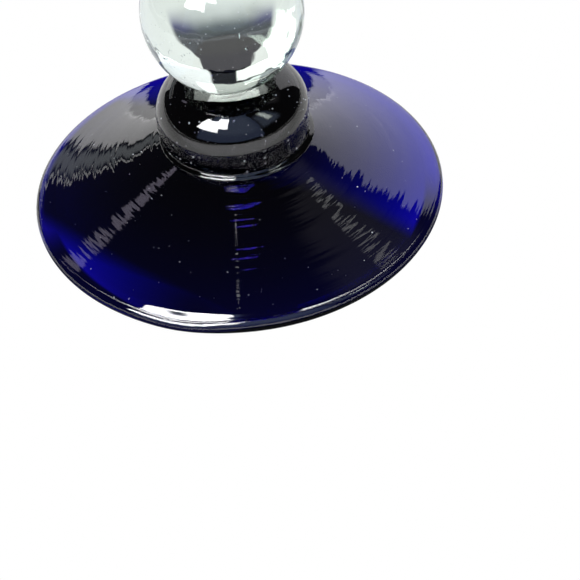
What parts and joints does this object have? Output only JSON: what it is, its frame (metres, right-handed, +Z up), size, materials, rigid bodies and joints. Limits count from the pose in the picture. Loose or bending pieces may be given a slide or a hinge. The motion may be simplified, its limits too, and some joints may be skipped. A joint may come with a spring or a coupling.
{
  "type": "candlestick",
  "caption": "Glass candlestick: a round cobalt foot and knop, a clear solid ball as the stem, and a cobalt cup with a flared lip and a round candle socket.",
  "frame": {"origin": "middle of the circle that the foot stands on", "axes": "+Z up along the column, from the foot to the candle cup; turned parts, so +X and +Y are alike"},
  "size_m": [0.075, 0.075, 0.0971],
  "materials": {
    "cobalt_glass": "polished",
    "clear_glass": "polished"
  },
  "bodies": {
    "root": {"foot": "cobalt_glass", "foot_collar": "cobalt_glass", "foot_knop": "cobalt_glass", "ball_stem": "clear_glass", "top_knop": "cobalt_glass", "candle_cup": "cobalt_glass"}
  },
  "joints": []
}
